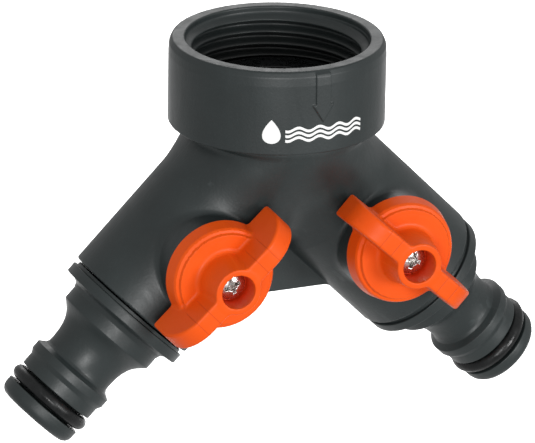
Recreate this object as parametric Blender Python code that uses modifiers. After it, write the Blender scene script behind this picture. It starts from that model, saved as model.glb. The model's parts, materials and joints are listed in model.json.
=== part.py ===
"""Two-way hose splitter with two quarter-turn shut-off valves.

Row frame: origin at the centre of the inlet mouth, +Z out of the mouth, the
valve levers facing -Y, one outlet arm towards -X and one towards +X.
All lengths are metres.
"""
import math

import bmesh
import bpy
from mathutils import Euler, Matrix, Vector

MM = 0.001

# Inlet collar: swivel nut with a G1 (33.3 mm) pipe thread
COLLAR_R = 19.7 * MM
COLLAR_H = 15.6 * MM
MOUTH_R = 16.75 * MM
THREAD_MAJOR_R = 16.63 * MM
THREAD_MINOR_R = 15.15 * MM
THREAD_PITCH = 2.309 * MM
THREAD_FIRST_CREST = 2.3 * MM
THREAD_CRESTS = 3
CREST_HALF = 0.2 * MM
LIP_R = 12.75 * MM
LIP_TOP = 13.2 * MM
EDGE = 0.5 * MM

# Raised arrow on the collar wall, pointing away from the mouth
ARROW_AZIMUTH = math.radians(-87.7)
ARROW_HALF = 1.4 * MM
ARROW_BARB_HALF = 2.1 * MM
ARROW_SHAFT_END = 6.2 * MM
ARROW_TIP = 9.6 * MM
ARROW_PROUD = 0.25 * MM
ARROW_ROOT = 1.0 * MM

# Sealing washer
WASHER_R = 14.4 * MM
WASHER_HOLE_R = 8.8 * MM
WASHER_TOP = 8.9 * MM
WASHER_T = 2.4 * MM

# Neck of the manifold
NECK_TOP = 11.4 * MM
FLANGE_R = 13.5 * MM
FLANGE_UNDER = 12.9 * MM
NECK_CONE = 2.0 * MM
NECK_R = 12.4 * MM
SHOULDER_R = 18.4 * MM
SHOULDER_TOP = 15.9 * MM
SHOULDER_LOW = 16.6 * MM
INLET_BORE_R = 8.0 * MM

# Outlet arms
JUNCTION_Z = -19.9 * MM
ARM_ANGLE = math.radians(44.5)
ARM_R = 12.9 * MM
ARM_END = 39.74 * MM
ARM_EDGE = 0.35 * MM
BLEND_S = 16.0 * MM
BLEND_TOP_Z = -16.45 * MM
BLEND_TOP_HALF_Y = 17.6 * MM
BLEND_RINGS = 6
BRANCH_R = 5.0 * MM
WEB_T = 3.0 * MM
WEB_LOW_Z = -49.0 * MM
WEB_HALF = 12.2 * MM
WEB_TOP_Z = -33.0 * MM
WEB_TOP_HALF = 4.4 * MM

# Valve housing in each arm
VALVE_S = 24.7 * MM
CHAMBER_R = 9.0 * MM
CHAMBER_FLOOR = 8.4 * MM
BOSS_R = 10.2 * MM
BOSS_FACE = 15.6 * MM
BOSS_DEPTH = 8.0 * MM
STEM_BORE_R = 4.6 * MM
STEM_POCKET_R = 5.9 * MM
STEM_POCKET_Y = 10.5 * MM
STEM_POCKET_END = 5.0 * MM
STOP_R_IN = 6.3 * MM
STOP_R_OUT = 8.5 * MM
STOP_DEPTH = 1.2 * MM
STOP_START = math.radians(37.5)
STOP_END = math.radians(142.5)
OVERCUT = 1.0 * MM

# Ball, seats and stem
BALL_R = 7.6 * MM
BORE_R = 4.6 * MM
BALL_LIP = 0.15 * MM
BALL_ARC_STEPS = 8
SLOT_W = 3.4 * MM
SLOT_FLOOR = 5.9 * MM
SEAT_R = 8.8 * MM
SEAT_START = 4.6 * MM
SEAT_END = 8.2 * MM
SEAT_FACE_R = 7.3 * MM
SEAT_HOLE_R = 4.9 * MM
SEAT_HOLE_START = 6.15 * MM
SEAT_CONE = ((6.1 * MM, 4.8 * MM), (5.25 * MM, 5.75 * MM))
STEM_R = 4.3 * MM
STEM_TOP = -0.4 * MM
STEM_GROOVE_R = 3.2 * MM
STEM_GROOVE_TOP = -2.1 * MM
STEM_GROOVE_LOW = -3.7 * MM
STEM_RING_SECTION = 0.6 * MM
STEM_FLANGE_R = 5.6 * MM
STEM_FLANGE_TOP = -5.7 * MM
STEM_FLANGE_LOW = -6.9 * MM
TANG_LOW = -9.7 * MM
DRIVE_SIDE = 5.0 * MM
DRIVE_TOP = 4.3 * MM
TANG_W = 3.0 * MM
TANG_L = 8.0 * MM

# Lever
LEVER_BASE = 15.9 * MM
LEVER_H = 10.35 * MM
DISC_R = 10.08 * MM
DISC_H = 3.9 * MM
DISC_RIM = ((8.35 * MM, 3.9 * MM), (8.6 * MM, 3.6 * MM), (9.15 * MM, 3.45 * MM), (9.55 * MM, 2.9 * MM))
DISC_EDGE = 0.3 * MM
HUB_TOP_R = 4.25 * MM
HUB_BASE_R = 5.3 * MM
COUNTERBORE_R = 3.15 * MM
COUNTERBORE_FLOOR = 5.6 * MM
COUNTERBORE_CHAMFER = 0.2 * MM
COUNTERBORE_DRAFT = 0.1 * MM
SCREW_HOLE_R = 1.75 * MM
SCREW_HOLE_END = 2.0 * MM
HUB_EDGE = 0.3 * MM
WING_L = 14.65 * MM
WING_ROUND = 6.1 * MM
WING_HALF_BASE = 2.35 * MM
WING_HALF_TOP = 1.9 * MM
WING_EDGE = 0.35 * MM
WING_ARC_STEPS = 6
WING_DROP = 0.05 * MM
LUG_CLEAR = 0.3 * MM
LUG_END_GAP = 0.1 * MM
LUG_MIDDLE = math.radians(135.0)
LUG_HALF = math.radians(6.0)
SOCKET_CLEAR = 0.15 * MM
SOCKET_DEEPER = 0.3 * MM
LEVER_PLAY = {"left": math.radians(2.9), "right": math.radians(-3.4)}

# Lever screw
SCREW_HEAD_R = 2.75 * MM
SCREW_HEAD_H = 1.6 * MM
SCREW_R = 1.4 * MM
SCREW_TIP = -3.0 * MM
RECESS_W = 0.8 * MM
RECESS_L = 3.4 * MM
RECESS_DEPTH = 1.1 * MM
SCREW_TURN = math.radians(25.0)
SCREW_SEAT_GAP = 0.1 * MM
PILOT_CLEAR = 0.1 * MM
PILOT_DEEPER = 0.4 * MM

# Outlet nipple: radii, and distances from the end of the arm
SPIGOT_R = 8.7 * MM
SPIGOT_IN = 6.5 * MM
SPIGOT_GROOVE_R = 6.9 * MM
SPIGOT_GROOVE = (-4.4 * MM, -2.0 * MM)
NIPPLE_FLANGE_R = 12.8 * MM
NIPPLE_FLANGE = (0.94 * MM, 2.9 * MM)
NIPPLE_BACK_R = 12.1 * MM
NIPPLE_BACK = 0.3 * MM
NIPPLE_STEP_R = 9.83 * MM
NIPPLE_STEP = (4.2 * MM, 6.8 * MM)
NIPPLE_FILLET = ((10.4 * MM, 3.2 * MM), (11.4 * MM, 2.9 * MM))
NIPPLE_WAIST = ((7.2 * MM, 15.1 * MM), (6.8 * MM, 13.6 * MM), (6.95 * MM, 11.6 * MM),
                (7.37 * MM, 9.9 * MM), (8.2 * MM, 8.4 * MM))
NIPPLE_RIDGE_R = 8.3 * MM
NIPPLE_RIDGE = (15.9 * MM, 17.5 * MM)
NIPPLE_SLEEVE_R = 7.8 * MM
NIPPLE_SLEEVE_TOP = 18.45 * MM
ORING_GROOVE_R = 5.6 * MM
ORING_GROOVE = (20.7 * MM, 24.0 * MM)
RING_SECTION = 1.3 * MM
RING_GAP = 0.1 * MM
NIPPLE_NOSE_R = 7.87 * MM
NIPPLE_NOSE = ((6.3 * MM, 27.0 * MM), (7.4 * MM, 26.5 * MM), (7.87 * MM, 25.4 * MM))
NIPPLE_END = 27.0 * MM

SIDES = {"left": -1.0, "right": 1.0}
STEPS_LARGE = 40
STEPS_SMALL = 28
STEPS_MEDIUM = 24
STEPS_TINY = 20
SHARP_ANGLE = math.radians(35.0)


def clear_scene():
    for obj in list(bpy.data.objects):
        bpy.data.objects.remove(obj, do_unlink=True)
    for coll in list(bpy.data.collections):
        bpy.data.collections.remove(coll)


clear_scene()
PARTS = bpy.data.collections.new("hose_splitter")
CUTTERS = bpy.data.collections.new("cutters")
bpy.context.scene.collection.children.link(PARTS)
bpy.context.scene.collection.children.link(CUTTERS)


def material(name, rgb, roughness, metallic=0.0):
    mat = bpy.data.materials.new(name)
    mat.use_nodes = True
    shader = mat.node_tree.nodes["Principled BSDF"]
    shader.inputs["Base Color"].default_value = (*rgb, 1.0)
    shader.inputs["Roughness"].default_value = roughness
    shader.inputs["Metallic"].default_value = metallic
    return mat


def add_object(name, mesh, mat=None):
    """Link a mesh as a part when it has a material, and as a cutter when it has none."""
    obj = bpy.data.objects.new(name, mesh)
    if mat is None:
        CUTTERS.objects.link(obj)
        obj.hide_render = True
        obj.display_type = "WIRE"
    else:
        PARTS.objects.link(obj)
        mesh.materials.append(mat)
    return obj


def place(obj, location, rotation):
    obj.location = location
    obj.rotation_euler = rotation
    return obj


def revolve(name, outer, inner=(), mat=None, steps=STEPS_SMALL):
    """Screw a profile about local Z: outer side from the top down, inner side back up."""
    points = list(outer) + list(inner)
    mesh = bpy.data.meshes.new(name)
    edges = [(i, i + 1) for i in range(len(points) - 1)]
    if inner:
        edges.append((len(points) - 1, 0))
    mesh.from_pydata([(r, 0.0, z) for r, z in points], edges, [])
    obj = add_object(name, mesh, mat)
    screw = obj.modifiers.new("revolve", "SCREW")
    screw.axis = "Z"
    screw.steps = steps
    screw.render_steps = steps
    screw.use_merge_vertices = True
    screw.merge_threshold = 1e-6
    return obj


def box(name, low, high, mat=None):
    mesh = bpy.data.meshes.new(name)
    bm = bmesh.new()
    bmesh.ops.create_cube(bm, size=1.0)
    size = Vector(high) - Vector(low)
    middle = (Vector(high) + Vector(low)) / 2
    bmesh.ops.transform(bm, matrix=Matrix.Translation(middle) @ Matrix.Diagonal((*size, 1.0)),
                        verts=bm.verts)
    bm.to_mesh(mesh)
    bm.free()
    return add_object(name, mesh, mat)


def skin(name, rings, mat=None):
    """Join equal rings of points with quads and cap both ends."""
    mesh = bpy.data.meshes.new(name)
    bm = bmesh.new()
    loops = [[bm.verts.new(p) for p in ring] for ring in rings]
    count = len(rings[0])
    for a, b in zip(loops, loops[1:]):
        for i in range(count):
            j = (i + 1) % count
            bm.faces.new((a[i], a[j], b[j], b[i]))
    bm.faces.new(loops[0])
    bm.faces.new(loops[-1])
    bmesh.ops.recalc_face_normals(bm, faces=bm.faces)
    bm.to_mesh(mesh)
    bm.free()
    mesh.shade_smooth()
    mesh.set_sharp_from_angle(angle=SHARP_ANGLE)
    return add_object(name, mesh, mat)


def prism(name, outline, normal, depth, mat=None):
    """Extrude a flat outline of points along the unit vector normal."""
    mesh = bpy.data.meshes.new(name)
    bm = bmesh.new()
    face = bm.faces.new([bm.verts.new(p) for p in outline])
    grown = bmesh.ops.extrude_face_region(bm, geom=[face], use_keep_orig=True)["geom"]
    moved = [v for v in grown if isinstance(v, bmesh.types.BMVert)]
    bmesh.ops.translate(bm, vec=Vector(normal) * depth, verts=moved)
    bmesh.ops.recalc_face_normals(bm, faces=bm.faces)
    bm.to_mesh(mesh)
    bm.free()
    return add_object(name, mesh, mat)


def boolean(target, other, operation="DIFFERENCE"):
    mod = target.modifiers.new(operation.lower(), "BOOLEAN")
    mod.object = other
    mod.operation = operation
    mod.solver = "EXACT"
    return target


def bevel(obj, width, segments=2):
    mod = obj.modifiers.new("edges", "BEVEL")
    mod.width = width
    mod.segments = segments
    mod.limit_method = "ANGLE"
    mod.angle_limit = SHARP_ANGLE
    return obj


def arc_sector(name, r_in, r_out, z_low, z_high, start, end, mat=None, steps=8):
    rings = []
    for i in range(steps + 1):
        a = start + (end - start) * i / steps
        c, s = math.cos(a), math.sin(a)
        rings.append([(r * c, r * s, z) for r, z in
                      ((r_in, z_low), (r_out, z_low), (r_out, z_high), (r_in, z_high))])
    return skin(name, rings, mat)


def torus_profile(centre_r, centre_z, section, count=8):
    """Closed circular section, from its top down the outer side and back up the inner."""
    points = []
    for i in range(count):
        a = math.pi / 2 - 2 * math.pi * i / count
        points.append((centre_r + section * math.cos(a), centre_z + section * math.sin(a)))
    return points[:count // 2 + 1], points[count // 2 + 1:]


def arm_axis(sign):
    return Vector((sign * math.sin(ARM_ANGLE), 0.0, -math.cos(ARM_ANGLE)))


def arm_point(sign, along):
    return Vector((0.0, 0.0, JUNCTION_Z)) + arm_axis(sign) * along


def arm_rotation(sign):
    """Local +Z runs down the arm, towards the outlet; local Y stays Y."""
    return Euler((0.0, sign * (math.pi - ARM_ANGLE), 0.0))


def valve_rotation(sign, play=0.0):
    """Local +Z points out of the lever face (-Y) and local +X down the arm."""
    z_axis = Vector((0.0, -1.0, 0.0))
    x_axis = arm_axis(sign)
    turn = Matrix.Rotation(play, 3, "Y")
    x_axis = turn @ x_axis
    y_axis = z_axis.cross(x_axis)
    return Matrix((x_axis, y_axis, z_axis)).transposed().to_euler()


def valve_point(sign, depth):
    """Point on the lever axis at a distance in front of the arm's mid-plane."""
    point = arm_point(sign, VALVE_S)
    point.y = -depth
    return point


GREY = material("grey_plastic", (0.045, 0.055, 0.057), 0.42)
ORANGE = material("orange_plastic", (0.82, 0.11, 0.015), 0.35)
RUBBER = material("black_rubber", (0.012, 0.012, 0.012), 0.5)
STEEL = material("screw_steel", (0.6, 0.6, 0.6), 0.25, 1.0)
WHITE = material("white_acetal", (0.75, 0.75, 0.72), 0.4)


def build_nut():
    outer = [(MOUTH_R + EDGE / 2, 0.0), (COLLAR_R - EDGE, 0.0), (COLLAR_R - EDGE / 3, -EDGE / 3),
             (COLLAR_R, -EDGE), (COLLAR_R, -COLLAR_H + EDGE / 3), (COLLAR_R - EDGE / 3, -COLLAR_H)]
    inner = [(LIP_R + EDGE, -COLLAR_H), (LIP_R, -COLLAR_H + EDGE), (LIP_R, -LIP_TOP),
             (THREAD_MAJOR_R, -LIP_TOP)]
    thread = []
    for i in range(THREAD_CRESTS):
        crest = -THREAD_FIRST_CREST - i * THREAD_PITCH
        thread.append((THREAD_MINOR_R, crest + CREST_HALF))
        thread.append((THREAD_MINOR_R, crest - CREST_HALF))
        thread.append((THREAD_MAJOR_R, crest - THREAD_PITCH / 2))
    inner += reversed(thread)
    inner.append((MOUTH_R, -THREAD_FIRST_CREST + THREAD_PITCH / 4))
    inner.append((MOUTH_R, -EDGE / 2))
    nut = revolve("inlet_nut", outer, inner, GREY, STEPS_LARGE)

    flat = [(-ARROW_HALF, 0.0), (-ARROW_HALF, ARROW_SHAFT_END), (-ARROW_BARB_HALF, ARROW_SHAFT_END),
            (0.0, ARROW_TIP), (ARROW_BARB_HALF, ARROW_SHAFT_END), (ARROW_HALF, ARROW_SHAFT_END),
            (ARROW_HALF, 0.0)]
    root = COLLAR_R - ARROW_ROOT
    outline = [(root, x, -EDGE - z) for x, z in flat]
    arrow = prism("arrow_add", outline, (1.0, 0.0, 0.0), ARROW_ROOT + ARROW_PROUD)
    boolean(nut, place(arrow, (0.0, 0.0, 0.0), (0.0, 0.0, ARROW_AZIMUTH)), "UNION")
    return nut


def build_washer():
    bottom = -WASHER_TOP - WASHER_T
    revolve("inlet_washer", [(WASHER_R, -WASHER_TOP), (WASHER_R, bottom)],
            [(WASHER_HOLE_R, bottom), (WASHER_HOLE_R, -WASHER_TOP)], RUBBER, STEPS_SMALL)


def blend_ring(sign, t, count=STEPS_LARGE):
    """Ring between the collar shoulder (t=0) and the round arm (t=1)."""
    normal = Vector((sign * math.cos(ARM_ANGLE), 0.0, math.sin(ARM_ANGLE)))
    outside_end = arm_point(sign, BLEND_S) + normal * ARM_R
    inside_end = arm_point(sign, BLEND_S) - normal * ARM_R
    slope = (BLEND_TOP_Z - outside_end.z) / math.cos(ARM_ANGLE)
    outside_top = outside_end - arm_axis(sign) * slope
    inside_top = Vector((-outside_top.x, 0.0, BLEND_TOP_Z))
    outside = outside_top.lerp(outside_end, t)
    inside = inside_top.lerp(inside_end, t)
    ease = t * t * (3.0 - 2.0 * t)
    half_y = BLEND_TOP_HALF_Y + (ARM_R - BLEND_TOP_HALF_Y) * ease
    centre = (outside + inside) / 2
    half = (outside - inside) / 2
    ring = []
    for i in range(count):
        a = 2 * math.pi * i / count
        ring.append(centre + half * math.cos(a) + Vector((0.0, half_y * math.sin(a), 0.0)))
    return ring


def arm_ring(sign, along, radius, count=STEPS_LARGE):
    normal = Vector((sign * math.cos(ARM_ANGLE), 0.0, math.sin(ARM_ANGLE))) * radius
    ring = []
    for i in range(count):
        a = 2 * math.pi * i / count
        ring.append(arm_point(sign, along) + normal * math.cos(a)
                    + Vector((0.0, radius * math.sin(a), 0.0)))
    return ring


def arm_shell(name, sign, mat=None):
    rings = [blend_ring(sign, i / BLEND_RINGS) for i in range(BLEND_RINGS + 1)]
    rings.append(arm_ring(sign, ARM_END - ARM_EDGE, ARM_R))
    rings.append(arm_ring(sign, ARM_END, ARM_R - ARM_EDGE))
    return skin(name, rings, mat)


def build_body():
    body = arm_shell("manifold_body", SIDES["left"], GREY)
    boolean(body, arm_shell("right_arm_add", SIDES["right"]), "UNION")

    neck = [(0.0, -NECK_TOP), (FLANGE_R - EDGE, -NECK_TOP), (FLANGE_R, -NECK_TOP - EDGE),
            (FLANGE_R, -FLANGE_UNDER), (NECK_R, -FLANGE_UNDER), (NECK_R, -SHOULDER_TOP),
            (SHOULDER_R - EDGE, -SHOULDER_TOP), (SHOULDER_R, -SHOULDER_TOP - EDGE / 2),
            (SHOULDER_R, -SHOULDER_LOW), (SHOULDER_R - NECK_CONE / 2, -SHOULDER_LOW - NECK_CONE / 2),
            (0.0, -SHOULDER_LOW - NECK_CONE)]
    boolean(body, revolve("neck_add", neck, steps=STEPS_LARGE), "UNION")

    web_outline = [(-WEB_HALF, WEB_LOW_Z), (WEB_HALF, WEB_LOW_Z), (WEB_TOP_HALF, WEB_TOP_Z),
                   (-WEB_TOP_HALF, WEB_TOP_Z)]
    web = prism("web_add", [(x, -WEB_T / 2, z) for x, z in web_outline], (0.0, 1.0, 0.0), WEB_T)
    boolean(body, web, "UNION")

    for side, sign in SIDES.items():
        face = [(0.0, 0.0), (BOSS_R - EDGE, 0.0), (BOSS_R, -EDGE), (BOSS_R, -BOSS_DEPTH),
                (0.0, -BOSS_DEPTH)]
        boss = revolve(side + "_boss_add", face, steps=STEPS_LARGE)
        place(boss, valve_point(sign, BOSS_FACE), valve_rotation(sign))
        boolean(body, boss, "UNION")

    inlet = [(0.0, 0.0), (INLET_BORE_R, 0.0), (INLET_BORE_R, JUNCTION_Z), (0.0, JUNCTION_Z - BRANCH_R)]
    boolean(body, revolve("inlet_bore_cut", inlet, steps=STEPS_SMALL))

    for side, sign in SIDES.items():
        floor = VALVE_S - CHAMBER_FLOOR
        passage = [(0.0, ARM_END + OVERCUT), (CHAMBER_R, ARM_END + OVERCUT), (CHAMBER_R, floor),
                   (BRANCH_R, floor), (BRANCH_R, OVERCUT), (0.0, OVERCUT)]
        cut = revolve(side + "_passage_cut", passage, steps=STEPS_SMALL)
        boolean(body, place(cut, arm_point(sign, 0.0), arm_rotation(sign)))

        stem = [(0.0, OVERCUT), (STEM_BORE_R, OVERCUT), (STEM_BORE_R, STEM_POCKET_Y - BOSS_FACE),
                (STEM_POCKET_R, STEM_POCKET_Y - BOSS_FACE), (STEM_POCKET_R, STEM_POCKET_END - BOSS_FACE),
                (0.0, STEM_POCKET_END - BOSS_FACE)]
        cut = revolve(side + "_stem_cut", stem, steps=STEPS_SMALL)
        boolean(body, place(cut, valve_point(sign, BOSS_FACE), valve_rotation(sign)))

        cut = arc_sector(side + "_stop_cut", STOP_R_IN, STOP_R_OUT, -STOP_DEPTH, OVERCUT,
                         STOP_START, STOP_END)
        boolean(body, place(cut, valve_point(sign, BOSS_FACE), valve_rotation(sign)))


def build_ball(side, sign):
    limit = math.acos((BORE_R + BALL_LIP) / BALL_R)
    arc = [limit - 2 * limit * i / BALL_ARC_STEPS for i in range(BALL_ARC_STEPS + 1)]
    outer = [(BALL_R * math.cos(a), BALL_R * math.sin(a)) for a in arc]
    bore_half = outer[0][1] - BALL_LIP
    inner = [(BORE_R, -bore_half), (BORE_R, bore_half)]
    ball = revolve(side + "_valve_ball", outer, inner, WHITE, STEPS_MEDIUM)
    place(ball, valve_point(sign, 0.0), arm_rotation(sign))
    slot = box(side + "_slot_cut", (-SLOT_W / 2, -CHAMBER_R, -CHAMBER_R),
               (SLOT_W / 2, -SLOT_FLOOR, CHAMBER_R))
    boolean(ball, place(slot, valve_point(sign, 0.0), arm_rotation(sign)))


def build_seats(side, sign):
    outer = [(SEAT_R, SEAT_END), (SEAT_R, SEAT_START)]
    inner = [(SEAT_FACE_R, SEAT_START), *SEAT_CONE, (SEAT_HOLE_R, SEAT_HOLE_START),
             (SEAT_HOLE_R, SEAT_END)]
    seat = revolve(side + "_outlet_seat", outer, inner, WHITE, STEPS_MEDIUM)
    place(seat, valve_point(sign, 0.0), arm_rotation(sign))
    seat = revolve(side + "_inlet_seat", outer, inner, WHITE, STEPS_MEDIUM)
    turned = arm_rotation(sign).to_matrix() @ Matrix.Rotation(math.pi, 3, "Y")
    place(seat, valve_point(sign, 0.0), turned.to_euler())


def build_stem(side, sign):
    shaft = [(0.0, STEM_TOP), (STEM_R, STEM_TOP), (STEM_R, STEM_GROOVE_TOP),
             (STEM_GROOVE_R, STEM_GROOVE_TOP), (STEM_GROOVE_R, STEM_GROOVE_LOW),
             (STEM_R, STEM_GROOVE_LOW), (STEM_R, STEM_FLANGE_TOP), (STEM_FLANGE_R, STEM_FLANGE_TOP),
             (STEM_FLANGE_R, STEM_FLANGE_LOW), (0.0, STEM_FLANGE_LOW)]
    stem = revolve(side + "_stem", shaft, mat=WHITE, steps=STEPS_MEDIUM)
    half = DRIVE_SIDE / 2
    drive = box(side + "_drive_add", (-half, -half, STEM_GROOVE_TOP / 2), (half, half, DRIVE_TOP))
    tang = box(side + "_tang_add", (-TANG_L / 2, -TANG_W / 2, TANG_LOW),
               (TANG_L / 2, TANG_W / 2, (STEM_FLANGE_TOP + STEM_FLANGE_LOW) / 2))
    pilot_r = SCREW_R + PILOT_CLEAR
    pilot_low = SCREW_TIP - PILOT_DEEPER
    pilot = revolve(side + "_pilot_cut", [(0.0, DRIVE_TOP + OVERCUT), (pilot_r, DRIVE_TOP + OVERCUT),
                                          (pilot_r, pilot_low), (0.0, pilot_low)], steps=STEPS_TINY)
    for obj in (stem, drive, tang, pilot):
        place(obj, valve_point(sign, LEVER_BASE), valve_rotation(sign))
    boolean(stem, drive, "UNION")
    boolean(stem, tang, "UNION")
    boolean(stem, pilot)
    outer, inner = torus_profile((STEM_BORE_R + STEM_GROOVE_R) / 2, (STEM_GROOVE_TOP + STEM_GROOVE_LOW) / 2,
                                 STEM_RING_SECTION, 6)
    oring = revolve(side + "_stem_oring", outer, inner, RUBBER, STEPS_TINY)
    place(oring, valve_point(sign, LEVER_BASE), valve_rotation(sign))


def wing_outline():
    """Side view of the two wings in the lever's XZ plane, counter-clockwise from the base."""
    arc = []
    for i in range(WING_ARC_STEPS + 1):
        a = math.pi / 2 * i / WING_ARC_STEPS
        arc.append((WING_L - WING_ROUND + WING_ROUND * math.cos(a),
                    LEVER_H - WING_DROP - WING_ROUND + WING_ROUND * math.sin(a)))
    right = [(WING_L, 0.0)] + arc
    left = [(-x, z) for x, z in reversed(right)]
    return right + left


def build_lever(side, sign):
    solid = [(0.0, LEVER_H), (HUB_TOP_R - HUB_EDGE, LEVER_H), (HUB_TOP_R, LEVER_H - HUB_EDGE),
             (HUB_BASE_R, DISC_H + HUB_EDGE), (HUB_BASE_R + HUB_EDGE, DISC_H), *DISC_RIM,
             (DISC_R, DISC_EDGE), (DISC_R - DISC_EDGE, 0.0), (0.0, 0.0)]
    lever = revolve(side + "_lever", solid, mat=ORANGE, steps=STEPS_LARGE)
    rings = []
    for face in (-1.0, 1.0):
        ring = []
        for x, z in wing_outline():
            half = WING_HALF_BASE + (WING_HALF_TOP - WING_HALF_BASE) * z / LEVER_H
            ring.append((x, face * half, z))
        rings.append(ring)
    wings = bevel(skin(side + "_wings_add", rings), WING_EDGE)
    hole = [(0.0, LEVER_H + OVERCUT), (COUNTERBORE_R + OVERCUT, LEVER_H + OVERCUT - COUNTERBORE_CHAMFER),
            (COUNTERBORE_R, LEVER_H - COUNTERBORE_CHAMFER),
            (COUNTERBORE_R - COUNTERBORE_DRAFT, COUNTERBORE_FLOOR), (SCREW_HOLE_R, COUNTERBORE_FLOOR),
            (SCREW_HOLE_R, SCREW_HOLE_END), (0.0, SCREW_HOLE_END)]
    bore = revolve(side + "_screw_cut", hole, steps=STEPS_MEDIUM)
    half = DRIVE_SIDE / 2 + SOCKET_CLEAR
    socket = box(side + "_socket_cut", (-half, -half, -OVERCUT), (half, half, DRIVE_TOP + SOCKET_DEEPER))
    lug = arc_sector(side + "_lug_add", STOP_R_IN + LUG_CLEAR, STOP_R_OUT - LUG_CLEAR,
                     -STOP_DEPTH + LUG_END_GAP, OVERCUT, LUG_MIDDLE - LUG_HALF, LUG_MIDDLE + LUG_HALF,
                     steps=3)
    for obj in (lever, wings, bore, socket, lug):
        play = LEVER_PLAY[side] if obj in (lever, wings) else 0.0
        place(obj, valve_point(sign, LEVER_BASE), valve_rotation(sign, play))
    boolean(lever, wings, "UNION")
    boolean(lever, lug, "UNION")
    boolean(lever, bore)
    boolean(lever, socket)


def build_screw(side, sign):
    under = COUNTERBORE_FLOOR + SCREW_SEAT_GAP
    top = under + SCREW_HEAD_H
    profile = [(0.0, top), (SCREW_HEAD_R * 0.6, top - SCREW_HEAD_H / 16),
               (SCREW_HEAD_R * 0.9, top - SCREW_HEAD_H / 3), (SCREW_HEAD_R, top - SCREW_HEAD_H * 2 / 3),
               (SCREW_HEAD_R, under), (SCREW_R, under), (SCREW_R, SCREW_TIP + SCREW_R),
               (SCREW_R / 3, SCREW_TIP), (0.0, SCREW_TIP)]
    screw = revolve(side + "_lever_screw", profile, mat=STEEL, steps=STEPS_TINY)
    floor = top - RECESS_DEPTH
    cuts = [box(side + "_recess_cut_a", (-RECESS_L / 2, -RECESS_W / 2, floor),
                (RECESS_L / 2, RECESS_W / 2, top + OVERCUT)),
            box(side + "_recess_cut_b", (-RECESS_W / 2, -RECESS_L / 2, floor),
                (RECESS_W / 2, RECESS_L / 2, top + OVERCUT))]
    for obj in [screw] + cuts:
        place(obj, valve_point(sign, LEVER_BASE), valve_rotation(sign, SCREW_TURN))
    for cut in cuts:
        boolean(screw, cut)


def build_nipple(side, sign):
    flange_top, flange_low = NIPPLE_FLANGE
    step_top, step_low = NIPPLE_STEP
    ridge_top, ridge_low = NIPPLE_RIDGE
    groove_top, groove_low = ORING_GROOVE
    seal_top, seal_low = SPIGOT_GROOVE
    outer = [*NIPPLE_NOSE, (NIPPLE_NOSE_R, groove_low), (ORING_GROOVE_R, groove_low),
             (ORING_GROOVE_R, groove_top), (NIPPLE_SLEEVE_R, groove_top),
             (NIPPLE_SLEEVE_R, NIPPLE_SLEEVE_TOP), (NIPPLE_RIDGE_R, ridge_low),
             (NIPPLE_RIDGE_R, ridge_top), *NIPPLE_WAIST, (NIPPLE_STEP_R, step_low),
             (NIPPLE_STEP_R, step_top), *NIPPLE_FILLET, (NIPPLE_FLANGE_R, flange_low),
             (NIPPLE_FLANGE_R, flange_top), (NIPPLE_BACK_R, flange_top), (NIPPLE_BACK_R, NIPPLE_BACK),
             (SPIGOT_R, NIPPLE_BACK), (SPIGOT_R, seal_low), (SPIGOT_GROOVE_R, seal_low),
             (SPIGOT_GROOVE_R, seal_top), (SPIGOT_R, seal_top), (SPIGOT_R, -SPIGOT_IN)]
    inner = [(BORE_R, -SPIGOT_IN), (BORE_R, NIPPLE_END)]
    nipple = revolve(side + "_outlet_nipple", outer, inner, GREY, STEPS_MEDIUM)
    place(nipple, arm_point(sign, ARM_END), arm_rotation(sign))
    outer, inner = torus_profile(ORING_GROOVE_R + RING_GAP + RING_SECTION, (groove_top + groove_low) / 2,
                                 RING_SECTION)
    oring = revolve(side + "_nipple_oring", outer, inner, RUBBER, STEPS_SMALL)
    place(oring, arm_point(sign, ARM_END), arm_rotation(sign))
    section = (CHAMBER_R - SPIGOT_GROOVE_R) / 2 - RING_GAP
    outer, inner = torus_profile((CHAMBER_R + SPIGOT_GROOVE_R) / 2, (seal_top + seal_low) / 2, section, 6)
    oring = revolve(side + "_spigot_oring", outer, inner, RUBBER, STEPS_TINY)
    place(oring, arm_point(sign, ARM_END), arm_rotation(sign))


build_nut()
build_washer()
build_body()
for side_name, side_sign in SIDES.items():
    build_ball(side_name, side_sign)
    build_seats(side_name, side_sign)
    build_stem(side_name, side_sign)
    build_lever(side_name, side_sign)
    build_screw(side_name, side_sign)
    build_nipple(side_name, side_sign)
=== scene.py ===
import json
import math

import bpy
import numpy as np
from mathutils import Matrix, Vector


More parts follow.
